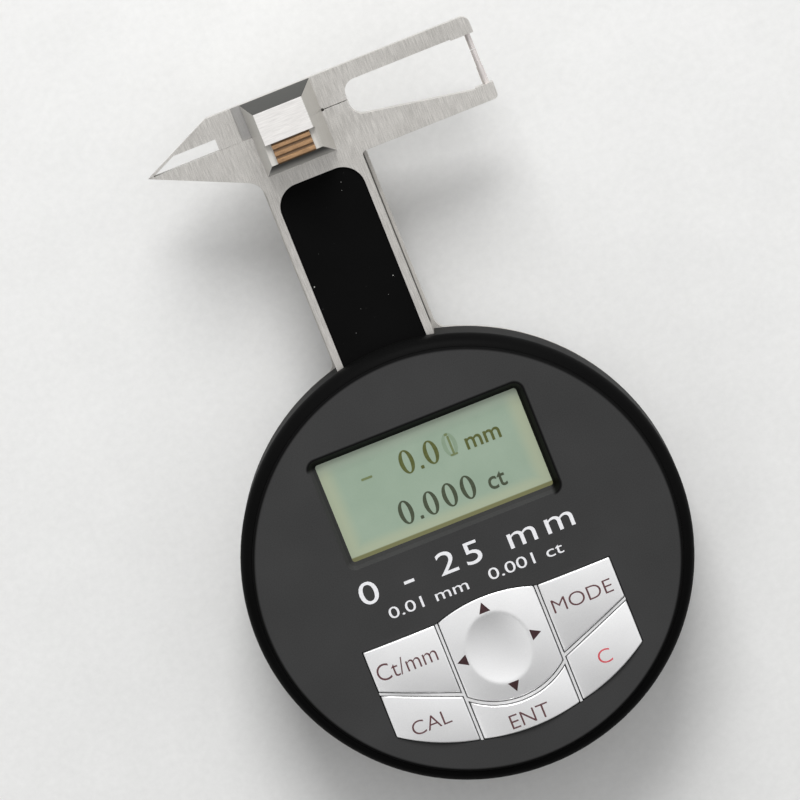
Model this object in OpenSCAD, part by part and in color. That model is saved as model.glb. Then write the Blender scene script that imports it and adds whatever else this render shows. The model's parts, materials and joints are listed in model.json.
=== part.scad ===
// Hand-held electronic gauge for cut stones: a round body with a display and keys, a flat stem,
// and a pair of jaws that a thumb slide opens against a spring.
// Millimetres. The back of the body lies at z = 0, its centre is the origin and the stem points to +Y.

/* [Body] */
// Outer diameter of the round body
body_d = 66; // [65:0.5:74]
// Depth of the back cover
back_h = 8; // [7.6:0.1:11]
// Thickness of the round walls
wall = 1.8; // [1.4:0.1:2]
// Thickness of the back cover's floor
back_floor = 2.2; // [2:0.1:2.5]
// How far the back cover lies inside the body's edge
back_inset = 0.9; // [0.6:0.1:1.2]
// Rounding of the back edge
back_round = 2.5; // [1:0.1:4]
// Thickness of the housing's front wall
front_t = 1.6; // [1.2:0.1:2.4]
// Thickness of the face panel
panel_t = 0.8; // [0.6:0.1:1.2]
// Distance from the body's edge to the edge of the face panel
panel_inset = 1.75; // [1.4:0.05:2.2]
// Radius of the housing's rounded rim
rim_r = 2.4; // [2.2:0.1:3]
// How far the crown of the rim lies below the face
rim_step = 0.25; // [0.1:0.05:0.4]
// Rounding of the face panel's edge
panel_round = 0.35; // [0.1:0.05:0.5]

/* [Frame and stem] */
// Thickness of the steel frame plate
plate_t = 2; // [1.6:0.1:3]
// Width of the stem at its front
stem_w = 15; // [14.6:0.1:16]
// How far the frame plate stands out on each side of the stem
stem_ledge = 0.55; // [0.2:0.05:0.9]
// Height of the channel for the slide bar
channel_h = 3; // [2.8:0.1:4]
// Width of each stem rail
rail_w = 1.4; // [1.2:0.1:1.6]
// Side clearance between slide bar and rails
slide_clear = 0.1; // [0.05:0.01:0.15]
// Clearance above and below the slide bar
slide_play = 0.2; // [0.1:0.05:0.3]
// Edge left beside the window in the stem
window_edge = 1.05; // [0.9:0.05:1.1]
// Corner radius of the window's upper end
window_r = 3.4; // [2:0.1:5]
// How far the stem cover lies below the jaw's front
cover_drop = 0.3; // [0.1:0.05:0.8]

/* [Jaws] */
// Thickness of both jaws
jaw_t = 3; // [2.6:0.1:3.4]
// Distance from the body's centre to the lower edge of the lower arm
arm_y = 60.4; // [56:0.1:66]
// Width of the closed jaws from the lower arm's edge to the parting line
lower_w = 7.7; // [7.4:0.1:9]
// Width of the upper jaw beyond the parting line
upper_w = 5; // [4.6:0.1:6]
// Gap between the closed jaws
part_gap = 0.1; // [0.06:0.01:0.2]
// Reach of the beak tips to the left
beak_x = 22.4; // [20:0.1:26]
// Distance from the centre line to the shoulder where the beak starts to slant
beak_shoulder = 11.6; // [11:0.1:12.4]
// Height of the beak's root below the parting line
beak_root = 6.6; // [6:0.1:7]
// Width of the needle beside the beak slot
needle_w = 0.35; // [0.3:0.05:0.6]
// Height of the beak slot
slot_h = 1.75; // [1.2:0.05:2.2]
// Reach of the arms to the right
arm_x = 28.8; // [26:0.1:32]
// Distance from the centre line to the closed end of the throat
throat_x = 8.4; // [8:0.1:9.4]
// Width of the upper arm
upper_arm_w = 2.45; // [2:0.05:3]
// Width of the lower arm at the throat's end
lower_arm_root = 5.3; // [4.6:0.1:5.6]
// Width of the lower arm below its pin
lower_arm_tip = 1.75; // [1.5:0.05:2.2]
// Corner radius of the throat's closed end
throat_r = 2; // [1:0.1:2.2]
// Diameter of the measuring pins
pin_d = 0.85; // [0.7:0.05:1.2]
// Diameter of the lower pin's foot
pin_foot_d = 1; // [0.9:0.05:1.4]
// Distance from the arms' ends to the pins' axis
pin_inset = 1; // [0.9:0.05:1.3]
// Opening travel of the jaws
travel = 25; // [20:0.5:25]

/* [Thumb block] */
// Offset of the thumb block from the centre line
thumb_x = -0.9; // [-1.2:0.1:0]
// Width of the block at its base
thumb_w = 10.75; // [10:0.05:11.2]
// Width of the block's top
thumb_top_w = 7.34; // [6.6:0.02:8]
// Height of the block above the jaws
thumb_h = 7; // [6:0.1:8]
// Length of the thumb rest over the lower jaw
rest_l = 6.1; // [5.6:0.1:6.4]
// Length of the rest's flat top
rest_top = 1.4; // [1:0.1:1.8]
// Set-back of the block's far face at its top
far_slant = 1.67; // [1:0.05:2]
// Set-back of the rest's near face at its top
near_slant = 1.5; // [1.2:0.05:1.8]
// Drop of the thumb's ledge below the block's top
ledge_drop = 1; // [0.8:0.05:1.3]
// Clearance between the thumb rest and the lower jaw
rest_clear = 0.12; // [0.08:0.01:0.2]
// Width of the grip pad
grip_w = 5.8; // [5:0.1:6]
// Number of ribs on the grip pad
grip_ribs = 3; // [2:1:5]

/* [Display] */
// Width of the display's view
view_w = 31.2; // [29:0.1:32]
// Height of the display's view
view_h = 15.2; // [14:0.1:15.4]
// Distance from the body's edge to the middle of the display
view_y = 19.8; // [19.7:0.1:20.2]
// Width of the slant round the view
bevel_w = 0.95; // [0.5:0.05:1.1]
// Depth of the display below the face
bevel_h = 1.6; // [1.2:0.1:2]
// Corner radius of the view at the glass
recess_r = 0.4; // [0.3:0.05:0.8]
// Thickness of the display glass
glass_t = 1.3; // [1:0.1:1.5]

/* [Keys] */
// Width of the key field
pad_w = 38.6; // [36:0.2:39]
// Distance from the centre to the top of the key field
pad_top = 6.9; // [6.6:0.1:7.4]
// Distance from the body's edge to the lowest point of the key field
pad_low = 6.6; // [6.4:0.1:7]
// Radius of the field's lower edge
pad_arc = 34.5; // [32:0.5:38]
// Height of the bulge above the rocker pad
bulge_h = 1.35; // [1:0.05:1.5]
// Distance from the centre line to the upright ribs
rib_x = 7.75; // [7.2:0.05:8.4]
// Width of the ribs between the keys
rib_w = 0.36; // [0.24:0.02:0.5]
// Gap round each key
key_gap = 0.24; // [0.2:0.01:0.3]
// Height of the slanted ribs' outer ends above the field's lowest point
slant_out = 12.9; // [12.4:0.1:13.4]
// Height of the slanted ribs' inner ends above the field's lowest point
slant_in = 8.2; // [7.6:0.1:8.8]
// Height of the curved rib's lowest point above that of the field
arc_low = 4.6; // [4.2:0.1:5]
// Radius of the curved rib
arc_r = 11.7; // [11:0.1:13]
// Height of the keys above the face
key_rise = 0.6; // [0.3:0.05:1]
// Press travel of the keys
key_travel = 0.5; // [0.3:0.05:0.55]
// Radius of the crown on the keys
key_crown = 45; // [30:1:90]
// Radius of the crown on the rocker pad
rocker_crown = 60; // [50:1:200]
// Offset of the dish from the middle of the rocker pad
dish_x = -0.45; // [-0.6:0.05:0]
// Radius of the dish in the rocker pad
dish_r = 5; // [4:0.1:5.6]
// Depth of the dish in the rocker pad
dish_h = 0.75; // [0.3:0.05:1]

/* [Inside] */
// Space between the jaw's level and the main board
board_gap = 1; // [0.9:0.1:1.5]
// Thickness of the main board
board_t = 1.2; // [0.8:0.1:1.6]
// Space between the board and the housing's front wall
key_room = 2.4; // [2.3:0.1:3]
// Diameter of the coin cell
cell_d = 20; // [18:0.5:20]
// Thickness of the coin cell
cell_t = 3.2; // [2.4:0.1:3.2]
// Distance from the body's edge to the middle of the coin cell
cell_drop = 20; // [19:0.5:20.5]
// Outer diameter of the spring
spring_d = 2.6; // [2:0.1:2.6]
// Diameter of the spring's wire
wire_d = 0.4; // [0.3:0.05:0.5]
// Number of turns in the spring
spring_turns = 13; // [6:1:13]
// Diameter of the case screws
case_screw_d = 2; // [1.6:0.1:2.2]
// Diameter of the small screws
small_screw_d = 1.6; // [1.4:0.1:1.8]

/* [Hidden] */
$fn = 72;
// Fineness of the large balls that crown keys and domes
ball_fn = 240;

// Overlap used where one cut runs out of a face
cut = 1;
// Clearance of pieces that are seated in one another
seat = 0.05;

// Levels, from the back to the face
z_plate = back_h;
z_channel = z_plate + plate_t;
z_jaw = z_channel + channel_h;
z_front = z_jaw + jaw_t;
z_board = z_jaw + board_gap;
z_board_top = z_board + board_t;
z_wall = z_board_top + key_room;
z_panel = z_wall + front_t;
z_face = z_panel + panel_t;

// Round body
frame_set = 0.1;
boss_wall = 1.2;
boss_edge = 0.7;
body_r = body_d / 2;
view_mid = body_r - view_y;
pad_foot = body_r - pad_low;
arc_foot = pad_foot - arc_low;
frame_r = body_r - frame_set;
back_r = body_r - back_inset;
inner_r = body_r - wall;
panel_r = body_r - panel_inset;
boss_r = case_screw_d / 2 + boss_wall;
boss_ring = inner_r - boss_r - boss_edge;
head_r = case_screw_d * 0.95;
head_h = case_screw_d * 0.6;

// Stem and rails
tail_gap = 2.7;
foot_w = 3;
foot_lap = 0.4;
foot_clear = 0.35;
foot_rise = 1.2;
foot_edge = 1.5;
stop_deep = 0.6;
rail_over = 5;
rail_set = 0.3;
rail_head_w = 1.7;
rail_head_l = 2.6;
rail_pin_edge = 1.45;
window_low = 2.5;
window_high = 0.8;
part_y = arm_y + lower_w;
top_y = part_y + upper_w;
tail_y = view_mid + view_h / 2 + tail_gap;
half_stem = stem_w / 2;
half_back = half_stem + stem_ledge;
rail_in = half_stem - rail_w;
bar_half = rail_in - slide_clear;
bar_low = z_channel + slide_play;
bar_top = z_jaw - slide_play;
foot_out = half_stem + foot_w;
foot_in = half_stem - foot_lap;
foot_y1 = sqrt(pow(inner_r - foot_clear, 2) - pow(foot_out, 2));
rail_y0 = foot_y1 - stop_deep;
rail_top = arm_y + rail_over;
head_out = half_stem + rail_head_w;
head_y0 = rail_top - rail_head_l;
jaw_screw_at = [foot_out - foot_edge, (tail_y + foot_y1) / 2];
rail_pin_deep = jaw_t * 0.6;
rail_pin_at = [head_out - rail_pin_edge, (head_y0 + rail_top) / 2];
window_y0 = tail_y + window_low;
window_y1 = arm_y - window_high;
half_window = half_stem - window_edge;

// Jaws
part_low = part_y - part_gap / 2;
part_high = part_y + part_gap / 2;
beak_gap = 0.02;
relief_d = 0.45;
relief_x = thumb_x + thumb_w / 2 + relief_d / 4;
throat_top = top_y - upper_arm_w;
pin_x = arm_x - pin_inset;
pin_z = (z_jaw + z_front) / 2;
pin_sunk = 1.4;
upper_boss_l = 3.5;
upper_boss_h = 0.2;
lower_boss_l = 2.7;
lower_boss_h = 0.7;
lower_boss_y = arm_y + lower_arm_tip + lower_boss_h;
lower_pin_y0 = lower_boss_y - pin_sunk;
upper_boss_y = throat_top - upper_boss_h;
pin_foot_y = (lower_boss_y + part_y) / 2;
beak_slope = upper_w / (beak_x - beak_shoulder);
root_y = part_y - beak_root;

// Slide bar, from its stop ears to its end under the upper jaw
bar_set = 0.3;
ear_w = 0.8;
ear_l = 3;
stop_play = 0.3;
scale_edge = 1.2;
scale_gap = 0.5;
bar_end = top_y - bar_set;
ear_out = bar_half + ear_w;
ear_top = rail_y0 - travel - stop_play;
bar_start = ear_top - ear_l;
slide_screw_at = [bar_half * 0.6, (part_high + bar_end) / 2];
reader_l = 15;
scale_t = 0.3;
scale_half = bar_half - scale_edge;
scale_y0 = ear_top + scale_gap;
scale_y1 = scale_y0 + travel + reader_l;

// Thumb block
rest_y0 = part_y - rest_l;
rest_z0 = z_front + rest_clear;
thumb_top = z_front + thumb_h;
ledge_y0 = rest_y0 + near_slant;
ledge_y1 = part_y - rest_top;
ledge_z = thumb_top - ledge_drop;
grip_t = 0.5;
grip_rise = 0.3;
grip_l = ledge_y1 - ledge_y0 - 2 * seat;
thumb_pin_edge = 1.45;
thumb_pin_h = 2.8;
thumb_pin_l = 5.2;
thumb_pin_x = thumb_top_w / 2 - thumb_pin_edge;
thumb_pin_y0 = part_high - thumb_pin_l / 2;
thumb_pin_z = z_front + thumb_pin_h;

// Display
glass_side = 1.7;
glass_end = 1.5;
glass_z1 = z_face - bevel_h;
glass_z0 = glass_z1 - glass_t;
reflector_t = 0.2;
glass_w = view_w + 2 * glass_side;
glass_h = view_h + 2 * glass_end;
opening_w = glass_w + 4 * seat;
opening_h = glass_h + 4 * seat;
holder_wall = 0.6;
holder_w = opening_w + 2 * holder_wall;
holder_h = opening_h + 2 * holder_wall;
strip_w = 1.6;
strip_inset = 1.5;

// Keys
half_pad = pad_w / 2;
key_deep = 0.7;
key_stop = 0.1;
rib_rise = 0.1;
key_bottom = z_wall - key_deep;
flange_t = 0.5;
flange_w = 0.6;
key_top = z_face + key_rise;
mat_top = key_bottom - key_travel - key_stop;
rib_top = z_face + rib_rise;
half_rib = rib_w / 2;
half_cell = half_rib + key_gap;
slant_fall = (slant_out - slant_in) / (half_pad - rib_x);
function slant_y(x) = slant_out - pad_foot - slant_fall * (half_pad - abs(x));
slant_gap = half_cell / cos(atan(slant_fall));
arc_y = arc_r - arc_foot;
bulge_r = (pow(rib_x, 2) + pow(bulge_h, 2)) / (2 * bulge_h);
// Middles of the keys: units, mode, calibrate, clear, enter
key_mid_x = (half_pad + rib_x) / 2;
key_mid_up = (slant_y(key_mid_x) - pad_top) / 2;
key_mid_low = slant_y(key_mid_x) / 2 - pad_foot / 2 + 0.4 * arc_low;
key_middles = [
    [-key_mid_x, key_mid_up],
    [key_mid_x, key_mid_up],
    [-key_mid_x, key_mid_low],
    [key_mid_x, key_mid_low],
    [0, -(arc_foot + pad_foot) / 2]
];
rocker_y = -(pad_top - bulge_h + arc_foot) / 2;
pivot_rise = 0.75;
pivot_r = 0.45;
pivot_l = 4.4;
pivot_clear = 0.05;
pivot_wall = 0.4;
ear_t = 0.8;
ear_r = pivot_r + pivot_clear + pivot_wall;
rocker_tip = 0.3;
rocker_edge = 2.35;
rocker_half = (arc_foot - pad_top + bulge_h) / 2;
rocker_end = 2.7;
pivot_z = mat_top + pivot_rise;
rocker_low = pivot_z + ear_r + rocker_tip;
rocker_middles = [
    for (side = [-1, 1])
        each [
            [side * (rib_x - rocker_edge), rocker_y],
            [0, rocker_y + side * (rocker_half - rocker_end)]
        ]
];
plunger_r = 1;
dome_r = 2;
dome_h = 0.18;
mat_t = mat_top - z_board_top - dome_h - seat / 2;

// Power
cell_y = cell_drop - body_r;
cap_set = 0.25;
cap_flange_t = 1;
seal_t = 0.3;
hub_edge = 0.9;
cap_lip = 1;
hub_r = cell_d / 2 + hub_edge;
cap_r = hub_r + cap_lip;
lug_t = 0.7;
lug_play = 0.1;
lug_turn = 45;
lug_w = 5;
lug_angles = [30, 150, 270];
cap_step = cap_set + cap_flange_t + seal_t;
hub_top = back_floor + lug_play + lug_t;
cell_z = hub_top + seat;
cell_top = cell_z + cell_t;
cell_room = 0.2;
cell_wall = 1.2;
plate_lap = 1.5;
holder_in = cell_d / 2 + cell_room;
holder_out = holder_in + cell_wall;
plate_hole_r = cell_d / 2 - plate_lap;
contact_t = 0.3;
contact_w = 3;
contact_x = 5;

// Main board and spring
board_edge = 0.8;
board_top_gap = 0.6;
reader_room = 0.3;
standoff_r = 1.5;
board_r = inner_r - board_edge;
board_top_y = tail_y - board_top_gap;
board_screw_gap = 6;
board_screw_side = view_w / 2 + standoff_r + board_screw_gap;
board_screw_low = board_r - standoff_r + board_edge / 8;
reader_t = board_gap - reader_room;
chip_w = 8;
chip_h = 1;
chip_in = 7;
chip_x = board_screw_side - chip_in;
chip_y = cell_y + chip_in;
small_l = 3;
small_w = 1.6;
small_h = 0.7;
spring_r = (spring_d - wire_d) / 2;
spring_z = (bar_low + bar_top) / 2;
post_r = 1;
post_y = -pad_foot + post_r - 0.2;
spring_tail = 1.2;
spring_y0 = post_y + post_r + seat;
spring_y1 = bar_start - seat;

// The upper case screws stand beside the display, the lower ones beside the keys
mat_lap = 0.7;
boss_room_up = 1.5;
boss_room_low = 1;
boss_up = acos((holder_w / 2 + boss_r + boss_room_up) / boss_ring);
boss_low = acos((half_pad + mat_lap + boss_r + boss_room_low) / boss_ring);
boss_angles = [boss_up, 180 - boss_up, 180 + boss_low, -boss_low];

// Places of the case screws
module at_bosses() {
    for (a = boss_angles)
        rotate(a)
            translate([boss_ring, 0])
                children();
}

// Mirrored pair at x and -x
module pair(p) {
    for (side = [-1, 1])
        translate([side * p[0], p[1]])
            children();
}

module at_board_screws() {
    pair([board_screw_side, 1])
        children();
    translate([0, -board_screw_low])
        children();
}

function way(a) = [cos(a), sin(a)];

// Region between a corner and the arc that rounds it, and a little beyond the two edges,
// which leave the corner at angles a1 and a2
module corner(p, a1, a2, r) {
    half = (a2 - a1) / 2;
    mid = (a1 + a2) / 2;
    centre = p + r / sin(half) * way(mid);
    tangent = r / tan(half);
    end1 = p + tangent * way(a1);
    end2 = p + tangent * way(a2);
    beyond = 0.3;
    difference() {
        polygon([
            p - beyond * way(mid),
            end1 + beyond * way(a1 - 90),
            end1,
            centre,
            end2,
            end2 + beyond * way(a2 + 90)
        ]);
        translate(centre)
            circle(r);
    }
}

// Screw standing on z = 0 with its head on top and a cross recess in the head
module screw(d, l, head_d, head_h) {
    recess = head_d * 0.55;
    slot = head_d * 0.16;
    difference() {
        union() {
            cylinder(d = d, h = l);
            translate([0, 0, l])
                cylinder(d = head_d, h = head_h);
        }
        for (a = [0, 90])
            translate([0, 0, l + head_h])
                rotate(a)
                    cube([recess, slot, head_h], center = true);
    }
}

// Back cover

module back_outline() {
    translate([0, back_round])
        square([back_r, back_h - back_round]);
    square([back_r - back_round, back_h]);
    translate([back_r - back_round, back_round])
        circle(back_round);
}

module back_cover() {
    color("black")
        difference() {
            union() {
                difference() {
                    rotate_extrude()
                        intersection() {
                            back_outline();
                            square([back_r, back_h]);
                        }
                    translate([0, 0, back_floor])
                        cylinder(r = back_r - wall, h = back_h);
                }
                at_bosses()
                    cylinder(r = boss_r, h = back_h);
            }
            at_bosses() {
                translate([0, 0, -cut])
                    cylinder(d = case_screw_d + 4 * seat, h = back_h + 2 * cut);
                translate([0, 0, -cut])
                    cylinder(r = head_r + 2 * seat, h = cut + head_h + cap_set);
            }
            translate([0, cell_y, -cut]) {
                cylinder(r = cap_r + 2 * seat, h = cut + cap_step);
                cylinder(r = hub_r + 2 * seat, h = cut + back_floor + cut);
                for (a = lug_angles)
                    rotate(a + lug_turn)
                        translate([0, -lug_w / 2 - 0.3])
                            cube([cap_r + seat, lug_w + 0.6, back_floor + 2 * cut]);
            }
        }
}

module battery_cap() {
    slot_w = 1.6;
    slot_l = cap_r * 1.1;
    slot_deep = 0.6;
    color("dimgray")
        translate([0, cell_y, 0])
            difference() {
                union() {
                    translate([0, 0, cap_set])
                        cylinder(r = cap_r, h = cap_flange_t);
                    translate([0, 0, cap_set])
                        cylinder(r = hub_r, h = hub_top - cap_set);
                    intersection() {
                        for (a = lug_angles)
                            rotate(a)
                                translate([0, -lug_w / 2, hub_top - lug_t])
                                    cube([cap_r, lug_w, lug_t]);
                        cylinder(r = cap_r - seat, h = hub_top);
                    }
                }
                cube([slot_l, slot_w, 2 * (cap_set + slot_deep)], center = true);
            }
}

module cap_seal() {
    color("darkred")
        translate([0, cell_y, cap_set + cap_flange_t])
            difference() {
                cylinder(r = cap_r - seat, h = seal_t);
                translate([0, 0, -cut])
                    cylinder(r = hub_r + 3 * seat, h = seal_t + 2 * cut);
            }
}

module coin_cell() {
    cap_edge = 1.2;
    rim_h = 0.25;
    color("silver")
        translate([0, cell_y, cell_z]) {
            cylinder(d = cell_d, h = cell_t - rim_h);
            translate([0, 0, cell_t - rim_h])
                cylinder(d = cell_d - 2 * cap_edge, h = rim_h);
        }
}

module cell_holder() {
    color("darkslategray")
        translate([0, cell_y, 0])
            difference() {
                translate([0, 0, hub_top + 0.3])
                    cylinder(r = holder_out, h = z_plate - hub_top - 0.3);
                cylinder(r = holder_in, h = z_plate + cut);
                translate([cell_d / 2 - 1, -contact_w / 2 - 0.3, 0])
                    cube([4, contact_w + 0.6, z_plate + cut]);
            }
}

// One strip presses on the cell's top, the other on its side; both reach the main board
module cell_contacts() {
    top_z = cell_top + seat;
    side_z = cell_z + cell_t / 3;
    color("goldenrod")
        translate([0, cell_y - contact_w / 2, 0]) {
            translate([-contact_x, 0, top_z])
                cube([contact_x - spring_d, contact_w, contact_t]);
            translate([-contact_x, 0, top_z])
                cube([contact_t, contact_w, z_board - top_z]);
            translate([cell_d / 2 + seat, 0, side_z])
                cube([contact_t, contact_w, z_board - side_z]);
        }
}

// Frame plate: a disc between the two shells, with the back of the stem

module stem_flare() {
    flare_r = 2;
    base_y = sqrt(pow(frame_r, 2) - pow(half_back, 2));
    lean = asin(half_back / frame_r);
    for (side = [0, 1])
        mirror([side, 0])
            corner([half_back, base_y], -lean, 90, flare_r);
}

module frame_outline() {
    circle(frame_r);
    translate([-half_back, 0])
        square([2 * half_back, rail_top]);
    translate([-head_out, head_y0])
        square([2 * head_out, rail_top - head_y0]);
    stem_flare();
}

module frame_plate() {
    color("lightgray")
        translate([0, 0, z_plate])
            linear_extrude(plate_t)
                difference() {
                    frame_outline();
                    translate([0, cell_y])
                        circle(plate_hole_r);
                    translate([0, cell_y - contact_w / 2 - 0.3])
                        square([cell_d / 2 + 1.2, contact_w + 0.6]);
                    at_bosses()
                        circle(d = case_screw_d + 4 * seat);
                    pair(jaw_screw_at)
                        circle(d = small_screw_d + 2 * seat);
                    pair(rail_pin_at)
                        circle(d = small_screw_d + seat);
                    translate([0, post_y])
                        circle(post_r + seat / 2);
                }
}

// Stem rails; the foot inside the body carries a screw and the inner end stops the slide bar

module rail_outline() {
    translate([rail_in, rail_y0])
        square([rail_w - rail_set, rail_top - rail_y0]);
    translate([half_stem - cut, head_y0])
        square([head_out - half_stem + cut, rail_top - head_y0]);
    polygon([
        [foot_in, tail_y],
        [foot_out, tail_y],
        [foot_out, foot_y1],
        [half_stem, foot_y1 + foot_rise],
        [rail_in, foot_y1 + foot_rise],
        [rail_in, rail_y0],
        [foot_in, rail_y0]
    ]);
}

module right_rail() {
    color("silver")
        translate([0, 0, z_channel])
            linear_extrude(channel_h)
                difference() {
                    rail_outline();
                    translate(jaw_screw_at)
                        circle(d = small_screw_d + 2 * seat);
                    translate(rail_pin_at)
                        circle(d = small_screw_d + seat);
                }
}

module left_rail() {
    mirror([1, 0, 0])
        right_rail();
}

// Jaws: one outline of the closed pair, parted along part_y

module pair_outline() {
    root_a = atan2(part_y - root_y, half_stem - beak_x);
    difference() {
        polygon([
            [-beak_x, part_y],
            [-half_stem, root_y],
            [half_stem, arm_y],
            [arm_x, arm_y],
            [arm_x, top_y],
            [-beak_shoulder, top_y]
        ]);
        corner([arm_x, top_y], 180, 270, 1.2);
        corner([arm_x, arm_y], 90, 180, 0.7);
    }
    corner([-half_stem, root_y], root_a, 270, 3);
    corner([half_stem, arm_y], 270, 360, 0.8);
}

// Small round relief on the parting line, at the foot of the thumb block
module relief_outline() {
    translate([relief_x, part_y])
        circle(d = relief_d, $fn = 24);
}

module throat_outline() {
    far_x = arm_x + cut;
    low_y = arm_y + lower_arm_root;
    fall = (lower_arm_tip - lower_arm_root) / (arm_x - throat_x);
    fall_a = atan(fall);
    difference() {
        polygon([
            [throat_x, low_y],
            [far_x, low_y + fall * (far_x - throat_x)],
            [far_x, throat_top],
            [throat_x, throat_top]
        ]);
        corner([throat_x, low_y], fall_a, 90, throat_r);
        corner([throat_x, throat_top], -90, 0, throat_r);
    }
}

// Slot above the parting line that leaves a thin needle along the beak's slant
module beak_slot_outline() {
    slot_end = 0.3;
    drop = needle_w / cos(atan(beak_slope));
    left_x = -beak_x + drop / beak_slope;
    polygon([
        [left_x - part_gap / beak_slope, part_y - part_gap],
        [-beak_shoulder + slot_end, part_y - part_gap],
        [-beak_shoulder + slot_end, part_y + slot_h],
        [left_x + slot_h / beak_slope, part_y + slot_h]
    ]);
}

module window_outline(gap) {
    w = half_window - gap;
    r = window_r - gap;
    y1 = window_y1 - gap;
    difference() {
        translate([-w, window_y0 + gap])
            square([2 * w, y1 - window_y0 - gap]);
        corner([w, y1], 180, 270, r);
        corner([-w, y1], 270, 360, r);
    }
}

module tail_outline() {
    translate([-half_stem, tail_y])
        square([stem_w, arm_y - tail_y + lower_w / 2]);
    polygon([
        [-foot_out, tail_y],
        [foot_out, tail_y],
        [foot_out, foot_y1],
        [half_stem, foot_y1 + foot_rise],
        [-half_stem, foot_y1 + foot_rise],
        [-foot_out, foot_y1]
    ]);
}

module lower_outline() {
    difference() {
        union() {
            intersection() {
                pair_outline();
                union() {
                    translate([-2 * beak_x, 0])
                        square([4 * beak_x, part_low]);
                    translate([-2 * beak_x, 0])
                        square([2 * beak_x + thumb_x, part_y - beak_gap / 2]);
                }
            }
            tail_outline();
        }
        throat_outline();
        relief_outline();
        window_outline(0);
        pair(jaw_screw_at)
            circle(d = small_screw_d + 2 * seat);
    }
    translate([arm_x - lower_boss_l, arm_y + lower_arm_tip / 2])
        square([lower_boss_l, lower_arm_tip / 2 + lower_boss_h]);
}

module lower_jaw() {
    color("lightgray")
        difference() {
            translate([0, 0, z_jaw])
                linear_extrude(jaw_t)
                    lower_outline();
            translate([pin_x, lower_pin_y0, pin_z])
                rotate([-90, 0, 0])
                    cylinder(d = pin_foot_d + 0.02, h = pin_sunk + cut);
            pair(rail_pin_at)
                translate([0, 0, z_jaw - cut])
                    cylinder(d = small_screw_d + seat, h = cut + rail_pin_deep);
        }
}

module stem_cover() {
    color("black")
        translate([0, 0, z_jaw])
            linear_extrude(jaw_t - cover_drop)
                window_outline(seat);
}

module lower_pin() {
    color("silver")
        translate([pin_x, 0, pin_z]) {
            translate([0, lower_pin_y0, 0])
                rotate([-90, 0, 0])
                    cylinder(d = pin_foot_d, h = pin_foot_y - lower_pin_y0);
            translate([0, pin_foot_y, 0])
                rotate([-90, 0, 0])
                    cylinder(d = pin_d, h = part_low - pin_foot_y);
        }
}

module upper_pin() {
    color("silver")
        translate([pin_x, part_high, pin_z])
            rotate([-90, 0, 0])
                cylinder(d = pin_d, h = upper_boss_y + pin_sunk - part_high);
}

module upper_outline() {
    difference() {
        intersection() {
            pair_outline();
            union() {
                translate([-2 * beak_x, part_high])
                    square([4 * beak_x, upper_w]);
                translate([-2 * beak_x, part_y + beak_gap / 2])
                    square([2 * beak_x + thumb_x, upper_w]);
            }
        }
        throat_outline();
        beak_slot_outline();
        relief_outline();
    }
    translate([arm_x - upper_boss_l, upper_boss_y])
        square([upper_boss_l, upper_arm_w / 2]);
}

// Block of trapezoid section; profile is its side view as points of y and z
module thumb_form(profile) {
    reach = thumb_w * 2;
    intersection() {
        translate([thumb_x, top_y + cut, 0])
            rotate([90, 0, 0])
                linear_extrude(top_y)
                    polygon([
                        [-thumb_w / 2, z_front],
                        [thumb_w / 2, z_front],
                        [thumb_top_w / 2, thumb_top],
                        [-thumb_top_w / 2, thumb_top]
                    ]);
        translate([-reach / 2, 0, 0])
            rotate([90, 0, 90])
                linear_extrude(reach)
                    polygon(profile);
    }
}

module upper_jaw() {
    pocket_w = 1.45;
    pocket_h = 0.5;
    color("lightgray")
        difference() {
            union() {
                translate([0, 0, z_jaw])
                    linear_extrude(jaw_t)
                        upper_outline();
                thumb_form([
                    [part_high, z_front],
                    [top_y, z_front],
                    [top_y - far_slant, thumb_top],
                    [part_high, thumb_top]
                ]);
            }
            translate([thumb_x - thumb_w / 2 - pocket_w, part_high - cut, z_front - pocket_h])
                cube([pocket_w, upper_w + 2 * cut, jaw_t]);
            translate([pin_x, part_high, pin_z])
                rotate([-90, 0, 0])
                    cylinder(d = pin_d + 0.02, h = upper_boss_y + pin_sunk - part_high);
            pair(slide_screw_at)
                translate([0, 0, z_jaw - cut])
                    cylinder(d = small_screw_d + 2 * seat, h = cut + jaw_t * 0.7);
            thumb_pin_holes();
        }
}

// Places of the dowel pins that hold the two halves of the block together
module at_thumb_pins() {
    for (side = [-1, 1])
        translate([thumb_x + side * thumb_pin_x, thumb_pin_y0, thumb_pin_z])
            rotate([-90, 0, 0])
                children();
}

module thumb_pin_holes() {
    at_thumb_pins()
        translate([0, 0, -seat])
            cylinder(d = small_screw_d + seat, h = thumb_pin_l + 2 * seat);
}

// Half of the block over the lower jaw, with the ledge that carries the grip
module thumb_rest() {
    color("lightgray")
        difference() {
            thumb_form([
                [rest_y0, rest_z0],
                [part_high, rest_z0],
                [part_high, thumb_top],
                [ledge_y1, thumb_top],
                [ledge_y1, ledge_z],
                [ledge_y0, ledge_z]
            ]);
            thumb_pin_holes();
        }
}

// Ribs of saw-tooth section across the thumb's path
module grip_pad() {
    pitch = grip_l / grip_ribs;
    color("saddlebrown")
        translate([thumb_x - grip_w / 2, ledge_y0 + seat, ledge_z])
            rotate([90, 0, 90])
                linear_extrude(grip_w) {
                    square([grip_l, grip_t]);
                    for (i = [0 : grip_ribs - 1])
                        translate([i * pitch, grip_t])
                            polygon([
                                [pitch * 0.06, -grip_t / 2],
                                [pitch * 0.94, -grip_t / 2],
                                [pitch * 0.7, grip_rise],
                                [pitch * 0.2, grip_rise]
                            ]);
                }
}

module thumb_pins() {
    color("gray")
        at_thumb_pins()
            cylinder(d = small_screw_d, h = thumb_pin_l);
}

// Slide bar under the upper jaw, with stop ears and a bed for the scale strip

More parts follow.
